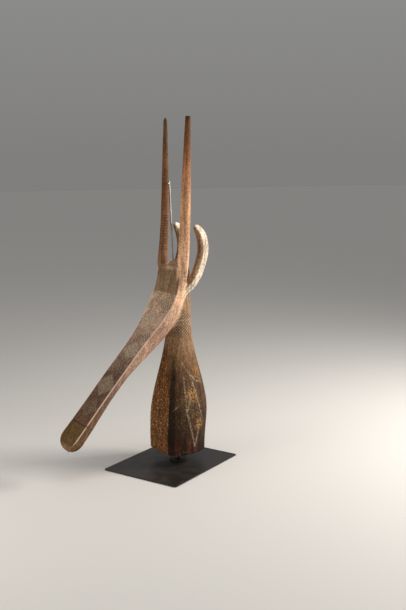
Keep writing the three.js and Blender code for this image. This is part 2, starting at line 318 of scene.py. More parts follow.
def horn_path(horn):
    side = horn["side"]
    return Path([[side * (HORN_PITCH - 0.024), -0.030, 0.545], [side * (HORN_PITCH - 0.006), -0.024, 0.618],
                 [side * HORN_PITCH, -0.019, 0.695], [side * HORN_PITCH, -0.009, 0.860],
                 [side * (HORN_PITCH + 0.002), horn["lean"], HORN_TOP]])


def horn_radius(horn, height):
    up_horn = np.clip((height - 0.700) / (HORN_TOP - 0.700), 0, 1)
    flare = horn["flare"] * (1 - smoothstep(height, 0.680, 0.790))
    swell = horn["root"] * blend(0.35, 1, smoothstep(height, 0.540, 0.670)) + flare
    return blend(swell, horn["tip"], up_horn ** 1.7)


# %% Helpers for Geometry Nodes
def new_tree(name, sizes):
    """An empty tree with named inputs for its sizes. Returns it with its first and last node."""
    tree = bpy.data.node_groups.new(name, "GeometryNodeTree")
    tree.interface.new_socket("Geometry", in_out="INPUT", socket_type="NodeSocketGeometry")
    for size, kind in sizes.items():
        tree.interface.new_socket(size, in_out="INPUT", socket_type=kind)
    tree.interface.new_socket("Geometry", in_out="OUTPUT", socket_type="NodeSocketGeometry")
    return tree, tree.nodes.new("NodeGroupInput"), tree.nodes.new("NodeGroupOutput")


def use_tree(thing, tree, values):
    """Puts the tree on the object and fills its inputs, each by its socket's identifier."""
    modifier = thing.modifiers.new(tree.name, "NODES")
    modifier.node_group = tree
    for item in tree.interface.items_tree:
        if item.item_type == "SOCKET" and item.in_out == "INPUT" and item.name in values:
            modifier[item.identifier] = values[item.name]


def settle(thing):
    """A plain mesh object with the modifiers' result, in place of the object that had them."""
    graph = bpy.context.evaluated_depsgraph_get()
    graph.update()
    mesh = bpy.data.meshes.new_from_object(thing.evaluated_get(graph), depsgraph=graph)
    name = thing.name
    bpy.data.objects.remove(thing)
    return place_in_scene(name, mesh)


def math_node(tree, work, first, second=None, third=None):
    node = tree.nodes.new("ShaderNodeMath")
    node.operation = work
    for socket, value in zip(node.inputs, (first, second, third)):
        if isinstance(value, bpy.types.NodeSocket):
            tree.links.new(value, socket)
        elif value is not None:
            socket.default_value = value
    return node.outputs[0]


# %% [markdown]
# The tree for a band of rings changes only the thickness that the curve carries. A sine wave of the
# height gives the rings, and it is let in softly at both ends of the band.

# %% Tree for a band of rings
def ring_band_tree():
    tree, start, end = new_tree("Ring band", {
        "Ring depth": "NodeSocketFloat", "Ring spacing": "NodeSocketFloat",
        "Band from": "NodeSocketFloat", "Band to": "NodeSocketFloat"})
    place = tree.nodes.new("GeometryNodeInputPosition").outputs[0]
    height = tree.nodes.new("ShaderNodeSeparateXYZ")
    tree.links.new(place, height.inputs[0])
    z = height.outputs["Z"]
    radius = tree.nodes.new("GeometryNodeInputRadius").outputs[0]
    turns = math_node(tree, "DIVIDE", z, start.outputs["Ring spacing"])
    wave = math_node(tree, "SINE", math_node(tree, "MULTIPLY", turns, 2 * math.pi))
    above = math_node(tree, "SUBTRACT", z, start.outputs["Band from"])
    below = math_node(tree, "SUBTRACT", start.outputs["Band to"], z)
    nearest = math_node(tree, "MINIMUM", above, below)
    inside = math_node(tree, "DIVIDE", nearest, 0.010)
    soft = tree.nodes.new("ShaderNodeClamp")
    tree.links.new(inside, soft.inputs[0])
    cut = math_node(tree, "MULTIPLY", wave, start.outputs["Ring depth"])
    cut = math_node(tree, "MULTIPLY", cut, soft.outputs[0])
    set_radius = tree.nodes.new("GeometryNodeSetCurveRadius")
    tree.links.new(start.outputs["Geometry"], set_radius.inputs["Curve"])
    tree.links.new(math_node(tree, "ADD", radius, cut), set_radius.inputs["Radius"])
    tree.links.new(set_radius.outputs[0], end.inputs[0])
    return tree


# %% Tree that sweeps a circle along a curve
def sweep_tree():
    tree, start, end = new_tree("Sweep a circle", {
        "Sides": "NodeSocketInt", "Finish": "NodeSocketMaterial"})
    circle = tree.nodes.new("GeometryNodeCurvePrimitiveCircle")
    tree.links.new(start.outputs["Sides"], circle.inputs["Resolution"])
    circle.inputs["Radius"].default_value = 1.0
    sweep = tree.nodes.new("GeometryNodeCurveToMesh")
    sweep.inputs["Fill Caps"].default_value = True
    tree.links.new(start.outputs["Geometry"], sweep.inputs["Curve"])
    tree.links.new(circle.outputs[0], sweep.inputs["Profile Curve"])
    thickness = tree.nodes.new("GeometryNodeInputRadius").outputs[0]
    tree.links.new(thickness, sweep.inputs["Scale"])
    real = tree.nodes.new("GeometryNodeRealizeInstances")
    tree.links.new(sweep.outputs[0], real.inputs[0])
    finish = tree.nodes.new("GeometryNodeSetMaterial")
    tree.links.new(real.outputs[0], finish.inputs["Geometry"])
    tree.links.new(start.outputs["Finish"], finish.inputs["Material"])
    tree.links.new(finish.outputs[0], end.inputs[0])
    return tree


def curve_through(name, points, radii):
    data = bpy.data.curves.new(name, "CURVE")
    data.dimensions = "3D"
    line = data.splines.new("POLY")
    line.points.add(len(points) - 1)
    for spot, place, radius in zip(line.points, points, radii):
        spot.co = (*place, 1)
        spot.radius = radius
    return place_in_scene(name, data)


# %% Make the two horns
RING_BANDS = [(1.085, 1.150, 0.0045), (0.960, 1.045, 0.0075), (0.740, 0.880, 0.0095)]
ring_band = ring_band_tree()
sweep = sweep_tree()


def make_horn(horn, bands):
    path = horn_path(horn)
    along = np.linspace(0, 1, 230)
    points = path.at(along)
    radii = horn_radius(horn, points[:, 2])
    if not horn["flat"]:
        radii = radii * np.sqrt(1 - 0.8 * smoothstep(along, 0.975, 1) ** 2)
    thing = curve_through(horn["name"], points, radii)
    for low, high, spacing in bands:
        use_tree(thing, ring_band, {"Ring depth": 0.0005, "Ring spacing": spacing,
                                    "Band from": low, "Band to": high})
    use_tree(thing, sweep, {"Sides": 36})
    thing = settle(thing)
    face_outwards(thing.data)
    return thing


left_horn = make_horn(LEFT_HORN, [])
right_horn = make_horn(RIGHT_HORN, RING_BANDS)
print("horns:", len(left_horn.data.vertices) + len(right_horn.data.vertices), "points")

# %% [markdown]
# ## The ears
# Each ear is a long curl behind the horn, rounded outside and cut with a groove down its front. The
# finish darkens the groove side as painted shade, so that a dark strip and a light strip run side by
# side. A ring of points is turned square to the line of the ear, and the ones at the front are drawn
# in for the groove.

# %% Make the two ears
EAR = dict(pitch=0.070, root_inset=0.032, half_width=0.0245, half_thickness=0.011, groove=0.005)
EAR_LINE = [[-0.022, 0.580], [0.028, 0.650], [0.055, 0.706], [0.066, 0.757], [0.056, 0.806],
            [0.032, 0.841]]


def ear_mesh(side):
    path = Path([[side * (EAR["pitch"] - (0 if i else EAR["root_inset"])), y, z]
                 for i, (y, z) in enumerate(EAR_LINE)])
    turn = np.linspace(0, 2 * math.pi, 40, endpoint=False)
    rings = []
    for along in np.linspace(0, 1, 96):
        way = path.direction(along)
        across = np.array([0, way[2], -way[1]])
        across = across / np.linalg.norm(across)
        into_tip = max(0, (along - 0.72) / 0.28)
        closing = math.sqrt(1 - 0.93 * into_tip ** 2.4)
        groove = EAR["groove"] * np.maximum(0, -np.cos(turn)) ** 3
        wide = (EAR["half_width"] * np.cos(turn) + groove) * closing
        thick = EAR["half_thickness"] * np.sin(turn) * closing
        rings.append(path.at(along) + wide[:, None] * across + thick[:, None] * np.array([1, 0, 0]))
    return skin("ear", np.array(rings))


left_ear = place_in_scene("left ear", ear_mesh(1))
right_ear = place_in_scene("right ear", ear_mesh(-1))
print("ears:", len(left_ear.data.vertices) + len(right_ear.data.vertices), "points")

# %% [markdown]
# ## The mouth
# A short slit is sawn into the end of the snout. It is cut out with a thin block, once all is joined.

# %% Block that cuts the mouth
MOUTH = dict(depth=0.034, gap=0.0045, level=0.66, snout_depth=0.046)


def mouth_block():
    tip, way = face_path.at(1), face_path.direction(1)
    mesh = bpy.data.meshes.new("mouth")
    work = bmesh.new()
    bmesh.ops.create_cube(work, size=1)
    size = Vector((0.2, 2 * MOUTH["depth"], MOUTH["gap"]))
    bmesh.ops.scale(work, vec=size, verts=work.verts)
    turn = Matrix.Rotation(math.atan2(way[1], way[0]), 4, "X")
    down = MOUTH["snout_depth"] * MOUTH["level"]
    place = Vector((0, tip[0] - way[1] * down, tip[1] + way[0] * down))
    bmesh.ops.transform(work, matrix=Matrix.Translation(place) @ turn, verts=work.verts)
    work.to_mesh(mesh)
    work.free()
    return place_in_scene("mouth", mesh)


mouth = mouth_block()

# %% [markdown]
# ## Join everything into one block
# The real headdress has no joints, so the parts become one solid with no walls inside. Each point
# then remembers which part it came from and where on that part it lies: the nearest point of
# the separate parts tells it.

# %% Remember the parts
PARTS = [bell, head, left_horn, right_horn, left_ear, right_ear]
BELL_PART, HEAD_PART, LEFT_HORN_PART, RIGHT_HORN_PART, LEFT_EAR_PART, RIGHT_EAR_PART = range(6)
part_points = np.vstack([positions(part.data) for part in PARTS])
part_of = np.concatenate([np.full(len(part.data.vertices), i) for i, part in enumerate(PARTS)])
part_tree = kdtree.KDTree(len(part_points))
for i, point in enumerate(part_points.tolist()):
    part_tree.insert(point, i)
part_tree.balance()


# %% Join and cut
def join_and_cut(base, added, removed):
    for other, work in [(o, "UNION") for o in added] + [(o, "DIFFERENCE") for o in removed]:
        step = base.modifiers.new(other.name, "BOOLEAN")
        step.object = other
        step.operation = work
        step.solver = "MANIFOLD"
    base = settle(base)
    for other in added + removed:
        bpy.data.objects.remove(other)
    return base


headdress = join_and_cut(bell, [head, left_horn, right_horn, left_ear, right_ear], [mouth])
headdress.name = "carved_wood"
wood = headdress.data
print("joined block:", len(wood.vertices), "points", len(wood.polygons), "faces")

# %% [markdown]
# ## Soften the joins
# On the real block the parts flow into each other, because one blade cut them all. Points that the
# join has made are new, so they are not in the list of the parts' points: they mark the seams. Near
# a seam each point is moved step by step towards the middle of its neighbours, which rounds the
# corner like a fillet. The top of the brow is rounded the same way. The cut of the mouth stays sharp.

# %% Find the seams and soften them
SOFTEN_REACH = 0.028
SOFTEN_ROUNDS = 90
BROW_SOFT_FROM = 0.652


def edge_ends(mesh):
    flat = np.empty(len(mesh.edges) * 2, np.int32)
    mesh.edges.foreach_get("vertices", flat)
    return flat.reshape(-1, 2)


class Neighbours:
    """Averages a value over each point's neighbours."""
    def __init__(self, mesh):
        ends = edge_ends(mesh)
        self.here = np.concatenate([ends[:, 0], ends[:, 1]])
        self.there = np.concatenate([ends[:, 1], ends[:, 0]])
        self.count = np.maximum(np.bincount(self.here, minlength=len(mesh.vertices)), 1)

    def mean(self, value):
        if value.ndim == 1:
            return np.bincount(self.here, value[self.there], len(self.count)) / self.count
        return np.stack([self.mean(column) for column in value.T], 1)

    def spread(self, value, rounds):
        for _ in range(rounds):
            value = blend(value, self.mean(value), 0.5)
        return value


points = positions(wood)
found = [part_tree.find(point) for point in points.tolist()]
came_from = part_of[[hit[1] for hit in found]]
is_new = np.array([hit[2] for hit in found]) > 1e-5
at_mouth = (points[:, 2] < 0.20) & (points[:, 1] < -0.35)
seam = points[is_new & ~at_mouth]
seam_tree = kdtree.KDTree(len(seam))
for i, point in enumerate(seam.tolist()):
    seam_tree.insert(point, i)
seam_tree.balance()
to_seam = np.array([seam_tree.find(point)[2] for point in points.tolist()])
softness = 1 - smoothstep(to_seam, 0.3 * SOFTEN_REACH, SOFTEN_REACH)
brow = (came_from == HEAD_PART) * smoothstep(points[:, 2], BROW_SOFT_FROM, BROW_SOFT_FROM + 0.014)
softness = np.maximum(softness, brow)
around = Neighbours(wood)
for _ in range(SOFTEN_ROUNDS):
    points = points + 0.5 * softness[:, None] * (around.mean(points) - points)
print(len(seam), "points on the seams")

# %% [markdown]
# ## Where each point lies on the work
# Carved bands, the painted highlight along the face's edges and dust follow the parts, not the ground.
# Each point gets its place on the face, measured across it, down it from the brow, and below it. Each
# part also gets a mask that fades softly into the next one.

# %% Places on the face and masks of the parts
def along_path(path, places):
    """Distance down the path and height above it for places given as (Y, Z)."""
    line = path.at(np.linspace(0, 1, 400))
    way = path.direction(np.linspace(0, 1, 400))
    down, above = np.empty(len(places)), np.empty(len(places))
    for start in range(0, len(places), 4000):
        part = places[start:start + 4000]
        gaps = part[:, None, :] - line[None, :, :]
        nearest = (gaps ** 2).sum(2).argmin(1)
        gap = gaps[np.arange(len(part)), nearest]
        near_way = way[nearest]
        down[start:start + 4000] = nearest / 399 * path.length + (gap * near_way).sum(1)
        above[start:start + 4000] = gap[:, 1] * -near_way[:, 0] + gap[:, 0] * near_way[:, 1]
    return down, above


face_down, face_above = along_path(face_path, points[:, 1:])
across = points[:, 0]
mask = {}
for name, members in {"bell": [BELL_PART], "head": [HEAD_PART], "left_horn": [LEFT_HORN_PART],
                      "right_horn": [RIGHT_HORN_PART], "ear": [LEFT_EAR_PART, RIGHT_EAR_PART]}.items():
    mask[name] = around.spread(np.isin(came_from, members).astype(float), 12)
half_face = face_section(np.clip(face_down / face_path.length, 0, 1))[0]
on_face = mask["head"] * smoothstep(face_above, -0.006, -0.001)
on_cheek = mask["head"] * (1 - smoothstep(face_above, -0.006, -0.001))
to_edge = np.hypot(half_face - np.abs(across), np.minimum(face_above, 0))
# Painted highlight: a pale line along both edges of the flat face.
edge = mask["head"] * (1 - smoothstep(to_edge, 0.0012, 0.0045))
print("face runs to", round(face_down[came_from == HEAD_PART].max(), 3), "m below the brow")

# %% [markdown]
# ## Incised lines
# The sides of the bell carry a long lozenge, a curved line above it and an upright line beside it.
# Two bands go round the neck, one line crosses the forehead and another rings the muzzle behind the
# snout. They are cut into the mesh as shallow grooves, and the same mask later holds the pale dust
# that has settled in them, except the ring round the muzzle, which is darkened as painted shade. A
# line is found by how far each point lies from it.

# %% Distance to a line drawn on the surface
def to_strokes(spots, strokes):
    """Shortest distance from each spot to a chain of straight strokes, all in two dimensions."""
    nearest = np.full(len(spots), 1.0)
    for start, end in zip(strokes, strokes[1:]):
        start, end = np.array(start), np.array(end)
        run = end - start
        part = np.clip(((spots - start) @ run) / (run @ run), 0, 1)
        nearest = np.minimum(nearest, np.linalg.norm(spots - start - part[:, None] * run, axis=1))
    return nearest


def groove(distance, width):
    return np.exp(-(distance / (0.5 * width)) ** 2)


# %% Lines on the bell, the neck and the head
height = points[:, 2].copy()
turn = np.degrees(np.arctan2(np.abs(points[:, 0]), -points[:, 1]))
girth = 0.0016
flank = np.stack([turn * girth, height], 1)


def on_flank(degrees, up):
    return (degrees * girth, up)


LOZENGE = [on_flank(101, 0.268), on_flank(79, 0.160), on_flank(100, 0.026), on_flank(118, 0.140),
           on_flank(101, 0.268)]
UPRIGHT = [on_flank(77, 0.292), on_flank(77.5, 0.205), on_flank(79, 0.160)]
CURVE = [on_flank(76, 0.338), on_flank(84, 0.322), on_flank(97, 0.296), on_flank(111, 0.272),
         on_flank(134, 0.262)]
DASH = [on_flank(50, 0.170), on_flank(60, 0.185)]
outside = mask["bell"] * smoothstep(np.hypot(points[:, 0], points[:, 1]), 0.030, 0.036)
lines = np.zeros(len(points))
for strokes, width in ((LOZENGE, 0.0050), (UPRIGHT, 0.0045), (CURVE, 0.0050), (DASH, 0.0040)):
    lines = np.maximum(lines, groove(to_strokes(flank, strokes), width))
wander = np.array([noise.noise(p) for p in (points * [30, 30, 6]).tolist()])
for band in (0.478, 0.494):
    lines = np.maximum(lines, 0.8 * groove(height - band - 0.003 * wander, 0.0045))
lines = lines * outside
ring = groove(face_down - 0.650 + 0.10 * np.abs(across) ** 1.2, 0.0050) * (on_face + 0.6 * on_cheek)
forehead = 0.7 * groove(face_down - 0.090 - 0.002 * wander, 0.0040) * on_face
print("points in the bell's lines:", int((lines > 0.5).sum()))

# %% [markdown]
# ## Cut and worn surface
# An adze leaves shallow hollows that run with the grain, and years of use soften them. Each hollow is
# a cell of a stretched Voronoi pattern, deepest in its middle. A slow noise makes the whole outline a
# little uneven, and the rim and the horn tips are nibbled.

# %% Find the inside of the hollow and the flat front facet
half, front, back, middle = bell_section(height)
from_middle = points[:, 1] - middle
reach = np.where(from_middle > 0, back, front) - WALL / 2
across_wall = (points[:, 0] / (half - WALL / 2)) ** 2 + (from_middle / reach) ** 2
behind_face = points[:, 1] - front_face_place(height)
inside_hollow = (across_wall < 1) & (behind_face > WALL / 2) & (height < 0.2) & (height > 0.0005)
inside_hollow = inside_hollow.astype(float)
facet = mask["bell"] * (1 - smoothstep(behind_face, 0.0004, 0.0022)) * (height < APEX_HEIGHT)
print("hollow", int(inside_hollow.sum()), "points, facet", int((facet > 0.5).sum()), "points")

# %% Push the points along their normals
TOOL_MARK_DEPTH = 0.0009
UNEVENNESS = 0.0011
KNOB_HEIGHTS = (1.165, 1.092, 1.050)


def point_normals(mesh, places):
    mesh.vertices.foreach_set("co", places.astype(np.float32).ravel())
    mesh.update()
    flat = np.empty(len(mesh.vertices) * 3, np.float32)
    mesh.vertex_normals.foreach_get("vector", flat)
    return flat.reshape(-1, 3).astype(float)


normals = point_normals(wood, points)
cells = (points * [34, 34, 15]).tolist()
mark = np.array([noise.voronoi(cell)[0][0] for cell in cells])
slow = np.array([noise.noise(p) for p in (points * 11 + 5).tolist()])
slim = np.maximum(mask["left_horn"], mask["right_horn"])
depth = TOOL_MARK_DEPTH * (mark ** 2 - 0.4) * blend(1, 0.35, slim) * blend(1, 0.5, on_face)
depth = depth + UNEVENNESS * slow * blend(1, 0.5, slim)
depth = depth - 0.0009 * lines - 0.0016 * ring - 0.0008 * forehead
back_side = smoothstep(normals[:, 1], 0.2, 0.8) * mask["right_horn"]
for knob in KNOB_HEIGHTS:
    depth = depth + 0.0014 * back_side * groove(height - knob, 0.0070)
points = points + depth[:, None] * normals
points[:, 2] += RIM_LIFT
point_normals(wood, points)
print("relief runs from", round(depth.min() * 1000, 2), "to", round(depth.max() * 1000, 2), "mm")

# %% [markdown]
# ## What the finish needs to know
# The masks are written on the mesh as named attributes, so that the finish can read them and they
# go along with the mesh. Carved patches alternate with plain ones down the face: each patch is
# a stretch of the face with its own kind of cutting, crossed lines or rows of dots.

# %% Carved patches on the face and cheeks
HATCHED = [(0.200, -0.018, 0.046, 0.062), (0.336, 0.010, 0.040, 0.066), (0.486, 0.000, 0.048, 0.070)]
DOTTED = [(0.126, 0.050, 0.040, 0.066), (0.268, 0.040, 0.026, 0.040), (0.408, -0.014, 0.030, 0.050),
          (0.582, 0.000, 0.044, 0.060)]


def lozenges(places):
    """Lozenges on the face, each given by its middle down and across, and its half length and width."""
    total = np.zeros(len(points))
    for down, side, half_length, half_width in places:
        off = np.abs(face_down - down) / half_length + np.abs(across - side) / half_width
        total = np.maximum(total, 1 - smoothstep(off, 0.85, 1.0))
    return total


hatched = lozenges(HATCHED) * on_face
dotted = lozenges(DOTTED) * on_face
cheek_rows = bump_between(face_down, 0.120, 0.560, 0.020) * on_cheek
neck_rows = mask["bell"] * bump_between(height, 0.440, 0.520, 0.015)

# %% Dusty places, and a painted shade strip on the bell
DUSTY_PLACES = [(96, 0.225, 0.045), (112, 0.112, 0.035), (120, 0.300, 0.040)]
dusty = np.zeros(len(points))
for degrees, up, reach in DUSTY_PLACES:
    off = np.linalg.norm(flank - on_flank(degrees, up), axis=1)
    dusty = np.maximum(dusty, 1 - smoothstep(off, 0.15 * reach, reach))
dusty = dusty * outside
# Painted shade: a strip on both sides of the bell, beside the flat front face, is marked for darkening, fading
# out above 0.30 m.
painted_shade_strip = outside * bump_between(turn, 42, 51, 5) * (1 - smoothstep(height, 0.300, 0.400))

# %% Groove and outer side of the ears
ear_path = Path(EAR_LINE)
ear_down, ear_above = along_path(ear_path, points[:, 1:] - [0, RIM_LIFT])
# The front strip of each ear, which the finish darkens as painted shade.
ear_front = mask["ear"] * smoothstep(-ear_above, -0.001, 0.005)
print("ears' front strip holds", int((ear_front > 0.5).sum()), "points")

# %% Write the attributes
def remember(mesh, name, value):
    kind = "FLOAT" if value.ndim == 1 else "FLOAT_VECTOR"
    attribute = mesh.attributes.new(name, kind, "POINT")
    field = "value" if value.ndim == 1 else "vector"
    attribute.data.foreach_set(field, value.astype(np.float32).ravel())


for name, value in {
        "left_horn": mask["left_horn"], "right_horn": mask["right_horn"], "ear": mask["ear"],
        "ear_front": ear_front, "face": on_face, "cheek": on_cheek, "edge": edge,
        "lines": np.clip(lines + forehead, 0, 1), "ring": ring, "hatched": hatched, "dotted": dotted,
        "cheek_rows": cheek_rows, "neck_rows": neck_rows, "hollow": inside_hollow, "facet": facet,
        "dusty": dusty, "painted_shade_strip": painted_shade_strip,
        "face_place": np.stack([across, face_down, face_above], 1)}.items():
    remember(wood, name, value)
for polygon in wood.polygons:
    polygon.use_smooth = True
print("attributes:", len(wood.attributes))

# %% [markdown]
# ## Tools for finishes
# A finish is a material made of small steps: a noise, a level that turns it into a mask, a mix of two
# colours. This small class adds one step at a time and joins it to the ones before.

# %% A class that builds a finish
def paint(red, green, blue):
    """A colour as it looks on a screen, 0 to 255, turned into the light values that Blender uses."""
    return tuple(((v / 255 + 0.055) / 1.055) ** 2.4 for v in (red, green, blue)) + (1.0,)


class Finish:
    def __init__(self, name):
        self.material = bpy.data.materials.new(name)
        self.material.use_nodes = True
        self.nodes = self.material.node_tree.nodes
        self.links = self.material.node_tree.links
        self.shader = self.nodes["Principled BSDF"]
        self.place = self.nodes.new("ShaderNodeTexCoord").outputs["Object"]

    def feed(self, socket, value):
        if isinstance(value, bpy.types.NodeSocket):
            self.links.new(value, socket)
        elif value is not None:
            socket.default_value = value

    def attribute(self, name):
        node = self.nodes.new("ShaderNodeAttribute")
        node.attribute_name = name
        return node.outputs["Vector" if name.endswith("place") else "Fac"]

    def stretched(self, place, scale):
        node = self.nodes.new("ShaderNodeMapping")
        self.feed(node.inputs["Vector"], place)
        node.inputs["Scale"].default_value = scale
        return node.outputs[0]

    def noise(self, scale, detail=4.0, roughness=0.6, stretch=(1, 1, 1), place=None):
        node = self.nodes.new("ShaderNodeTexNoise")
        self.feed(node.inputs["Vector"], self.stretched(place or self.place, stretch))
        node.inputs["Scale"].default_value = scale
        node.inputs["Detail"].default_value = detail
        node.inputs["Roughness"].default_value = roughness
        return node.outputs["Fac"]

    def cells(self, scale, stretch=(1, 1, 1), place=None):
        node = self.nodes.new("ShaderNodeTexVoronoi")
        self.feed(node.inputs["Vector"], self.stretched(place or self.place, stretch))
        node.inputs["Scale"].default_value = scale
        return node.outputs["Distance"]

    def level(self, value, low, high):
        node = self.nodes.new("ShaderNodeMapRange")
        node.interpolation_type = "SMOOTHSTEP"
        self.feed(node.inputs["Value"], value)
        node.inputs["From Min"].default_value = low
        node.inputs["From Max"].default_value = high
        return node.outputs[0]

    def math(self, work, first, second=None):
        node = self.nodes.new("ShaderNodeMath")
        node.operation = work
        self.feed(node.inputs[0], first)
        self.feed(node.inputs[1], second)
        return node.outputs[0]

    def both(self, *masks):
        total = masks[0]
        for mask_value in masks[1:]:
            total = self.math("MULTIPLY", total, mask_value)
        return total

    def either(self, *masks):
        total = masks[0]
        for mask_value in masks[1:]:
            total = self.math("MAXIMUM", total, mask_value)
        return total

    def mix(self, under, over, part):
        node = self.nodes.new("ShaderNodeMix")
        node.data_type = "RGBA"
        self.feed(node.inputs[0], part)
        self.feed(node.inputs[6], under)
        self.feed(node.inputs[7], over)
        return node.outputs[2]

    def stops(self, value, colours):
        """A run of colours, each at its own value. The values are spread over the ramp's 0 to 1."""
        low, high = colours[0][0], colours[-1][0]
        span = self.nodes.new("ShaderNodeMapRange")
        self.feed(span.inputs["Value"], value)
        span.inputs["From Min"].default_value = low
        span.inputs["From Max"].default_value = high
        ramp = self.nodes.new("ShaderNodeValToRGB")
        for i, (stop, colour) in enumerate(colours):
            part = (stop - low) / (high - low)
            element = ramp.color_ramp.elements[i] if i < 2 else ramp.color_ramp.elements.new(part)
            element.position, element.color = part, colour
        self.links.new(span.outputs[0], ramp.inputs[0])
        return ramp.outputs[0]

    def dim(self, colour, amount):
        node = self.nodes.new("ShaderNodeVectorMath")
        node.operation = "SCALE"
        self.feed(node.inputs[0], colour)
        self.feed(node.inputs["Scale"], amount)
        return node.outputs[0]

    def axes(self, place):
        node = self.nodes.new("ShaderNodeSeparateXYZ")
        self.feed(node.inputs[0], place)
        return node.outputs

    def bump(self, height_value, depth_m):
        node = self.nodes.new("ShaderNodeBump")
        self.feed(node.inputs["Height"], height_value)
        node.inputs["Distance"].default_value = depth_m
        if self.shader.inputs["Normal"].links:
            self.links.new(self.shader.inputs["Normal"].links[0].from_socket, node.inputs["Normal"])
        self.links.new(node.outputs[0], self.shader.inputs["Normal"])


# %% [markdown]
# ## The old wood
# The wood is matt and dusty. Its grain runs up the whole block, from rim to horn tips. The left horn
# is a warm tan, the right one browner, and both darken towards their tips as painted shade. The ears
# are nearly cream, with painted shade down their grooves. The face is a greyed tan that darkens
# towards an olive snout, and the cheeks carry a painted highlight under the horns. The bell is dark
# brown with golden specks, and darkens towards the rim partly in its own colour and partly as painted
# shade. Pale dust sits in the cut lines, and a painted highlight runs along the edges of the face.
# Painted shade darkens a strip beside the front facet, the hollow, the muzzle ring and the horn rings'
# cuts. Each of these is one colour and one mask.

# %% Colours of the old wood
# The bell darkens towards the rim partly in its own colour and partly as painted shade for light that falls
# off towards the ground.
BELL_TONES = [(0.05, paint(40, 26, 17)), (0.14, paint(56, 38, 24)), (0.28, paint(78, 55, 36)),
              (0.40, paint(122, 90, 62)), (0.47, paint(160, 124, 92)), (0.53, paint(170, 132, 100)),
              (0.64, paint(140, 112, 84))]
FACE_TONES = [(0.00, paint(116, 93, 68)), (0.085, paint(130, 103, 78)), (0.10, paint(172, 144, 118)),
              (0.22, paint(164, 136, 116)), (0.34, paint(128, 102, 88)), (0.45, paint(88, 67, 54)),
              (0.63, paint(86, 62, 42))]
# Painted highlight: the cheeks are lightest just under the horn roots.
CHEEK_TONES = [(0.06, paint(226, 180, 146)), (0.14, paint(226, 180, 148)), (0.22, paint(190, 144, 122)),
               (0.36, paint(186, 148, 126)), (0.48, paint(136, 103, 86)), (0.65, paint(108, 80, 54))]
# Painted shade: both horns darken towards their tips, where the light falls off.
LEFT_HORN_TONES = [(0.70, paint(222, 178, 142)), (0.92, paint(196, 148, 110)), (1.08, paint(164, 112, 78)),
                   (1.18, paint(116, 76, 46)), (1.27, paint(86, 54, 30))]
RIGHT_HORN_TONES = [(0.74, paint(124, 90, 62)), (1.00, paint(112, 74, 46)), (1.26, paint(96, 67, 40))]
SNOUT = paint(84, 62, 32)
CREAM = paint(238, 218, 194)
EAR_GROOVE_SHADE = paint(132, 96, 62)
GOLDEN = paint(164, 118, 66)
OLIVE_FLECK = paint(112, 92, 58)
FACET_BROWN = paint(104, 70, 38)
FACET_GOLD = paint(196, 132, 70)
PALE_DUST = paint(232, 212, 180)
GAP_BROWN = paint(92, 70, 52)
EDGE_HIGHLIGHT = paint(240, 208, 184)
# Painted shade: this near-black darkens the strip beside the front face, the hollow, the muzzle ring and the
# cuts of the horn rings.
PAINTED_SHADE = paint(26, 17, 12)
OLD_RED = paint(104, 46, 34)
WAVES = (("grain", 0.36, 0.64, 0.74, 1.24), ("streak", 0.36, 0.64, 0.84, 1.16),
         ("speck", 0.38, 0.62, 0.68, 1.34), ("patch", 0.34, 0.66, 0.88, 1.10))


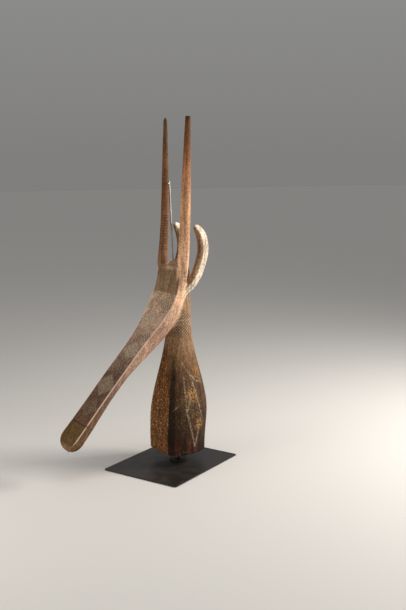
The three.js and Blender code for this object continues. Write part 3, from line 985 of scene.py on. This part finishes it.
# %% Mix the wood's colour
def wood_finish():
    look = Finish("old carved wood")
    z = look.axes(look.place)["Z"]
    grain = look.noise(110, 6, 0.65, stretch=(1, 1, 0.07))
    streak = look.noise(34, 5, 0.65, stretch=(1, 1, 0.08))
    patch = look.noise(13, 4, 0.6)
    speck = look.noise(150, 3, 0.8)
    fleck = look.cells(150, stretch=(1, 1, 0.75))

    spots = look.math("SUBTRACT", 1.0, look.level(fleck, 0.25, 0.50))
    bell_spots = look.both(spots, look.level(patch, 0.36, 0.60))
    # The bell's tones include painted shade towards the rim.
    colour = look.mix(look.stops(z, BELL_TONES), OLIVE_FLECK, look.both(bell_spots, 0.60))
    facet_tone = look.mix(FACET_BROWN, FACET_GOLD, look.both(spots, 0.80))
    colour = look.mix(colour, facet_tone, look.attribute("facet"))
    near_ground = look.math("SUBTRACT", 1.0, look.level(z, 0.06, 0.16))
    colour = look.mix(colour, OLD_RED, look.both(near_ground, look.level(streak, 0.48, 0.62), 0.5))
    colour = look.mix(colour, GOLDEN, look.both(look.attribute("dusty"), look.level(speck, 0.42, 0.58), 0.7))
    # Painted shade: the strip beside the front face is darkened with near-black.
    colour = look.mix(colour, PAINTED_SHADE, look.both(look.attribute("painted_shade_strip"), 0.75))

    down = look.axes(look.attribute("face_place"))["Y"]
    face_tone = look.mix(look.stops(down, FACE_TONES), SNOUT, look.level(down, 0.642, 0.660))
    colour = look.mix(colour, face_tone, look.attribute("face"))
    # Painted highlight: the cheek tones are lightest under the horn roots.
    colour = look.mix(colour, look.stops(down, CHEEK_TONES), look.attribute("cheek"))
    # Painted shade: the horns' tones darken towards their tips.
    colour = look.mix(colour, look.stops(z, LEFT_HORN_TONES), look.attribute("left_horn"))
    colour = look.mix(colour, look.stops(z, RIGHT_HORN_TONES), look.attribute("right_horn"))
    # Painted shade: the groove side of each ear is darker than the cream outside.
    ear_tone = look.mix(CREAM, EAR_GROOVE_SHADE, look.both(look.attribute("ear_front"), 0.9))
    colour = look.mix(colour, ear_tone, look.attribute("ear"))

    for wave, low, high, least, most in WAVES:
        wave = {"grain": grain, "streak": streak, "speck": speck, "patch": patch}[wave]
        tone = look.math("ADD", look.both(look.level(wave, low, high), most - least), least)
        colour = look.dim(colour, tone)

    relief, carved = add_carving(look, down)
    broken = look.level(speck, 0.40, 0.58)
    colour = look.mix(colour, GAP_BROWN, look.both(carved, 0.45))
    colour = look.mix(colour, PALE_DUST, look.both(relief, look.math("ADD", look.both(broken, 0.5), 0.3)))
    colour = look.mix(colour, PALE_DUST, look.both(look.attribute("lines"), broken, 0.42))
    # Painted highlight along the edges of the face.
    colour = look.mix(colour, EDGE_HIGHLIGHT, look.both(look.attribute("edge"), 0.70))
    # Painted shade: the groove of the ring round the muzzle is darkened.
    colour = look.mix(colour, PAINTED_SHADE, look.both(look.attribute("ring"), 0.80))
    # Painted shade: the cuts of the right horn's rings are darkened.
    rings = horn_rings(look, z)
    colour = look.mix(colour, PAINTED_SHADE, look.both(rings, 0.45))
    # Painted shade: the inside of the bell's hollow is darkened with near-black.
    colour = look.mix(colour, PAINTED_SHADE, look.both(look.attribute("hollow"), 0.75))
    look.feed(look.shader.inputs["Base Color"], colour)
    look.shader.inputs["Roughness"].default_value = 0.80
    look.shader.inputs["Specular IOR Level"].default_value = 0.18
    look.bump(grain, 0.0014)
    look.bump(speck, 0.0012)
    look.bump(relief, -0.0014)
    return look.material


# %% [markdown]
# The finer cutting is drawn by the finish itself, in the face's own measure, so that it follows the
# muzzle. Crossed lines are two sets of stripes that lean against each other, and the dots are where
# two sets of soft waves meet. A little noise makes them look cut by hand.

# %% Carved patterns in the face's own measure
HATCH_PITCH = 0.0105
DOT_PITCH = 0.0125
NECK_PITCH = 0.0115


def stripes(look, value, spacing, width):
    """1 on lines that far apart, 0 between them."""
    part = look.math("FRACT", look.math("DIVIDE", value, spacing))
    off = look.math("ABSOLUTE", look.math("SUBTRACT", part, 0.5))
    return look.math("SUBTRACT", 1.0, look.level(off, 0.35 * width, 0.35 * width + 0.14))


def dots(look, first, second, spacing):
    waves = []
    for value in (first, second):
        angle = look.math("MULTIPLY", value, 2 * math.pi / spacing)
        waves.append(look.math("SINE", angle))
    return look.level(look.both(*waves), 0.30, 0.75)


def add_carving(look, down):
    """The raised or dusty marks, and how much each place is carved, both from 0 to 1."""
    across_face, _, above_face = look.axes(look.attribute("face_place"))
    shake = look.both(look.math("SUBTRACT", look.noise(70, 3), 0.5), 0.010)
    one_way = look.math("ADD", look.math("ADD", across_face, down), shake)
    other_way = look.math("ADD", look.math("SUBTRACT", across_face, down), shake)
    crossed = look.either(stripes(look, one_way, HATCH_PITCH, 0.3), stripes(look, other_way, HATCH_PITCH, 0.3))
    shaken_across = look.math("ADD", across_face, shake)
    shaken_down = look.math("ADD", down, shake)
    rows = dots(look, shaken_across, shaken_down, DOT_PITCH)
    cheek_dots = dots(look, look.math("ADD", above_face, shake), shaken_down, DOT_PITCH)
    x, y, z = look.axes(look.place)
    round_neck = look.both(look.math("ARCTAN2", x, look.both(y, -1.0)), 0.045)
    neck_dots = dots(look, round_neck, z, NECK_PITCH)
    fading = look.math("SUBTRACT", 1.0, look.both(look.level(down, 0.20, 0.50), 0.6))
    relief, carved = None, None
    for pattern, name, strength in ((crossed, "hatched", fading), (rows, "dotted", fading),
                                    (cheek_dots, "cheek_rows", look.both(fading, 0.7)),
                                    (neck_dots, "neck_rows", 0.8)):
        where = look.both(look.attribute(name), strength)
        marks = look.both(where, pattern)
        relief = marks if relief is None else look.either(relief, marks)
        carved = where if carved is None else look.either(carved, where)
    return relief, carved


def horn_rings(look, z):
    """Painted shade in the cut of each fine ring of the right horn, in step with the rings of the mesh."""
    up = look.math("SUBTRACT", z, RIM_LIFT)
    total = 0.0
    for low, high, spacing in RING_BANDS:
        cut = stripes(look, look.math("SUBTRACT", up, 0.25 * spacing), spacing, 0.4)
        inside = look.both(look.level(up, low, low + 0.01),
                           look.math("SUBTRACT", 1.0, look.level(up, high - 0.01, high)))
        total = look.math("MAXIMUM", total, look.both(cut, inside))
    return look.both(total, look.attribute("right_horn"))


wood.materials.clear()
wood.materials.append(wood_finish())
print("finish:", wood.materials[0].name)

# %% [markdown]
# ## The steel stand
# A thin dark plate lies on the ground. A round post stands on it inside the bell and carries the
# wood on a wide disc. Behind the head a slim bare rod leans up from the plate and ends in a half
# ring that steadies the right horn. The plate is a rounded outline pulled up and given fine rounded
# edges.

# %% The foot plate
PLATE = dict(width=0.320, front=0.243, back=0.165, thickness=0.005, corner=0.006, turn=24)


def plate_mesh():
    half, corner = PLATE["width"] / 2, PLATE["corner"]
    outline = []
    for x, y, first in ((half, PLATE["back"], 0), (-half, PLATE["back"], 90),
                        (-half, -PLATE["front"], 180), (half, -PLATE["front"], 270)):
        centre = (x - math.copysign(corner, x), y - math.copysign(corner, y))
        for degrees in np.linspace(first, first + 90, 7):
            angle = math.radians(degrees)
            outline.append((centre[0] + corner * math.cos(angle), centre[1] + corner * math.sin(angle), 0))
    mesh = bpy.data.meshes.new("foot plate")
    work = bmesh.new()
    bottom = work.faces.new([work.verts.new(point) for point in outline])
    pulled = bmesh.ops.extrude_face_region(work, geom=[bottom])["geom"]
    top = [item for item in pulled if isinstance(item, bmesh.types.BMVert)]
    bmesh.ops.translate(work, vec=(0, 0, PLATE["thickness"]), verts=top)
    flat_edges = [edge for edge in work.edges if abs(edge.verts[0].co.z - edge.verts[1].co.z) < 1e-6]
    bmesh.ops.bevel(work, geom=flat_edges, offset=0.0006, segments=2, affect="EDGES")
    bmesh.ops.rotate(work, cent=(0, 0, 0), matrix=Matrix.Rotation(math.radians(PLATE["turn"]), 3, "Z"),
                     verts=work.verts)
    bmesh.ops.recalc_face_normals(work, faces=work.faces)
    work.to_mesh(mesh)
    work.free()
    return mesh


foot_plate = place_in_scene("steel_plate", plate_mesh())
print("foot plate:", len(foot_plate.data.polygons), "faces")

# %% [markdown]
# The post is turned on a lathe: one outline of radius and height, spun once round. A skin over rings
# does the same.

# %% The support post
TOUCH_GAP = 0.0003


def lathe(name, outline, sides, lift):
    turn = np.linspace(0, 2 * math.pi, sides, endpoint=False)
    rings = [np.stack([r * np.cos(turn), r * np.sin(turn), np.full(sides, z + lift)], 1)
             for r, z in outline]
    return skin(name, np.array(rings))


post_top = RIM_LIFT + HOLLOW["top"] - PLATE["thickness"] - 2 * TOUCH_GAP - 0.006
POST_OUTLINE = [(0.0316, 0), (0.032, 0.0004), (0.032, 0.0046), (0.0316, 0.005), (0.0085, 0.0056),
                (0.008, 0.007), (0.008, post_top - 0.009), (0.0085, post_top - 0.0081),
                (0.0255, post_top - 0.008), (0.026, post_top - 0.0075), (0.026, post_top - 0.003),
                (0.020, post_top)]
post_lift = PLATE["thickness"] + TOUCH_GAP
support_post = place_in_scene("steel_post", lathe("support post", POST_OUTLINE, 64, post_lift))

# %% [markdown]
# The rod and its half ring both follow a line, so they use the same sweep as the horns. The rod's top
# is brought to the horn's own line, so that the ring always closes round the horn.

# %% The back rod with its half ring
ROD = dict(radius=0.0035, foot=(-0.132, 0.096), foot_radius=0.015, foot_height=0.006, above_ring=0.008)
CRADLE = dict(up_horn=0.655, wire=0.0025, clearance=0.0012, half_angle=75)


def back_rod_object():
    spot = horn_path(RIGHT_HORN).at(CRADLE["up_horn"])
    held = float(horn_radius(RIGHT_HORN, spot[2])) + CRADLE["clearance"]
    spot = spot + [0, 0, RIM_LIFT]
    foot = np.array([*ROD["foot"], post_lift + 0.001])
    top = spot + [0, held + ROD["radius"], ROD["above_ring"]]
    rod = curve_through("back rod", np.linspace(foot, top, 40), np.full(40, ROD["radius"]))
    angles = np.radians(90 + np.linspace(-CRADLE["half_angle"], CRADLE["half_angle"], 25))
    reach = held + CRADLE["wire"]
    ring_points = [spot + [reach * math.cos(a), reach * math.sin(a), 0] for a in angles]
    half_ring = curve_through("half ring", ring_points, np.full(25, CRADLE["wire"]))
    swept = []
    for thing, sides in ((rod, 20), (half_ring, 16)):
        use_tree(thing, sweep, {"Sides": sides})
        thing = settle(thing)
        face_outwards(thing.data)
        swept.append(thing)
    disc_outline = [(ROD["foot_radius"], 0), (ROD["foot_radius"] - 0.0006, ROD["foot_height"] - 0.0006),
                    (ROD["foot_radius"] - 0.002, ROD["foot_height"])]
    disc = place_in_scene("rod foot", lathe("rod foot", disc_outline, 48, post_lift))
    disc.data.transform(Matrix.Translation((*ROD["foot"], 0)))
    joined = join_and_cut(swept[0], [disc, swept[1]], [])
    joined.name = "steel_rod"
    return joined


back_rod = back_rod_object()
print("back rod:", len(back_rod.data.polygons), "faces")

# %% [markdown]
# ## Steel finishes
# The plate and the post are lacquered nearly black, with a faint sheen and a little dust. The rod
# is bare steel, dull and slightly smeared. Both need only a slow noise in their roughness.

# %% Steel finishes
def steel_finish(name, colour, worn_colour, roughness, metallic):
    look = Finish(name)
    smear = look.noise(22, 4, 0.6)
    fine = look.noise(300, 3, 0.6)
    tone = look.mix(colour, worn_colour, look.both(look.level(smear, 0.40, 0.72), 0.6))
    look.feed(look.shader.inputs["Base Color"], tone)
    rough = look.math("ADD", look.both(look.level(smear, 0.3, 0.7), 0.14), roughness)
    look.feed(look.shader.inputs["Roughness"], rough)
    look.shader.inputs["Metallic"].default_value = metallic
    look.bump(fine, 0.00008)
    return look.material


dark_lacquer = steel_finish("dark plate lacquer", paint(46, 42, 39), paint(66, 60, 54), 0.34, 0.35)
bare_steel = steel_finish("bare steel", paint(196, 193, 188), paint(150, 144, 136), 0.36, 0.55)
for thing, finish, smooth in ((foot_plate, dark_lacquer, False), (support_post, dark_lacquer, True),
                              (back_rod, bare_steel, True)):
    thing.data.materials.clear()
    thing.data.materials.append(finish)
    for polygon in thing.data.polygons:
        polygon.use_smooth = smooth
    if smooth:
        thing.data.set_sharp_from_angle(angle=math.radians(35))

# %% [markdown]
# ## Tie each piece to the imported model
# Every piece rides on the one body and stands for its imported node, which is hidden.

# %% Tie the pieces to their nodes
TIES = ((headdress, "carved_headdress", "aged_wood"), (foot_plate, "foot_plate", "plate_steel"),
        (support_post, "support_post", "plate_steel"), (back_rod, "back_rod", "rod_steel"))
for thing, node, slot in TIES:
    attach(thing, "root")
    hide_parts(node)
    thing.data.calc_loop_triangles()
    print(thing.name, "has", len(thing.data.loop_triangles), "triangles")

# %% [markdown]
# ## Floor, light and camera
# A plain pale floor runs out to a pale, even sky. Two large soft lamps stand at the sides, as they
# would for a photograph that has to show carving: one to the right and a little behind, one low on
# the left. The sky fills the shadows. The camera stands 3.15 m away, turned 31 degrees from the side
# towards the front.

# %% Floor and sky
FLOOR_REACH = 30.0
floor_mesh = bpy.data.meshes.new("floor")
corner_points = [(-FLOOR_REACH, -FLOOR_REACH, 0), (FLOOR_REACH, -FLOOR_REACH, 0),
                 (FLOOR_REACH, FLOOR_REACH, 0), (-FLOOR_REACH, FLOOR_REACH, 0)]
floor_mesh.from_pydata(corner_points, [], [(0, 1, 2, 3)])
floor = place_in_scene("floor", floor_mesh)
floor_look = Finish("pale floor")
floor_look.shader.inputs["Base Color"].default_value = paint(214, 211, 206)
floor_look.shader.inputs["Roughness"].default_value = 0.9
floor_mesh.materials.append(floor_look.material)

sky = bpy.data.worlds.new("pale sky")
sky.use_nodes = True
sky_nodes, sky_links = sky.node_tree.nodes, sky.node_tree.links
way_up = sky_nodes.new("ShaderNodeSeparateXYZ")
sky_links.new(sky_nodes.new("ShaderNodeTexCoord").outputs["Generated"], way_up.inputs[0])
fade = sky_nodes.new("ShaderNodeValToRGB")
fade.color_ramp.elements[0].color = paint(150, 149, 147)
fade.color_ramp.elements[1].color = paint(186, 186, 187)
fade.color_ramp.elements[1].position = 0.5
sky_links.new(way_up.outputs["Z"], fade.inputs[0])
sky_links.new(fade.outputs[0], sky_nodes["Background"].inputs["Color"])
sky_nodes["Background"].inputs["Strength"].default_value = 0.70
bpy.context.scene.world = sky

# %% Lamps
CAMERA_TURN = math.radians(31)
CAMERA_REACH = 3.150
CAMERA_HEIGHT = 1.112
to_camera = Vector((math.cos(CAMERA_TURN), -math.sin(CAMERA_TURN), 0))
to_right = Vector((math.sin(CAMERA_TURN), math.cos(CAMERA_TURN), 0))


def soft_lamp(name, right, nearer, up, aim_height, watts, size, colour):
    data = bpy.data.lights.new(name, "AREA")
    data.energy = watts
    data.size = size
    data.color = colour
    lamp = bpy.data.objects.new(name, data)
    lamp.location = to_right * right + to_camera * nearer + Vector((0, 0, up))
    aim = Vector((0, -0.1, aim_height)) - lamp.location
    lamp.rotation_euler = aim.to_track_quat("-Z", "Y").to_euler()
    bpy.context.scene.collection.objects.link(lamp)


soft_lamp("right lamp", 2.3, -0.1, 1.5, 0.60, 76, 1.0, (1.0, 0.96, 0.91))
soft_lamp("left lamp", -1.7, 0.9, 0.6, 0.30, 15, 0.9, (1.0, 0.94, 0.87))
soft_lamp("top lamp", 0.4, 0.6, 3.0, 0.60, 12, 1.6, (1.0, 0.99, 0.97))

# %% [markdown]
# The photograph is 406 by 610 points. Its focal length is 865 of those points, so on a sensor
# 24 mm high the lens is 865 * 24 / 610 = 34 mm. The object stands a little left of the middle, so the
# camera is swung to the right by a small angle, and it looks down by 9.3 degrees.

# %% Camera
FOCAL_POINTS = 865.0
FRAME_HEIGHT = 610.0
LOOK_DOWN = math.atan(142 / FOCAL_POINTS)
SWING = math.atan(26.5 / FOCAL_POINTS * math.cos(LOOK_DOWN))
camera_data = bpy.data.cameras.new("camera")
camera_data.sensor_fit = "VERTICAL"
camera_data.sensor_height = 24.0
camera_data.lens = 24.0 * FOCAL_POINTS / FRAME_HEIGHT
camera = bpy.data.objects.new("camera", camera_data)
camera.location = to_camera * CAMERA_REACH + Vector((0, 0, CAMERA_HEIGHT))
ahead = -to_camera * math.cos(SWING) + to_right * math.sin(SWING)
ahead = ahead * math.cos(LOOK_DOWN) - Vector((0, 0, math.sin(LOOK_DOWN)))
camera.rotation_euler = ahead.to_track_quat("-Z", "Y").to_euler()
bpy.context.scene.collection.objects.link(camera)
bpy.context.scene.camera = camera
bpy.context.scene.view_settings.view_transform = "Standard"
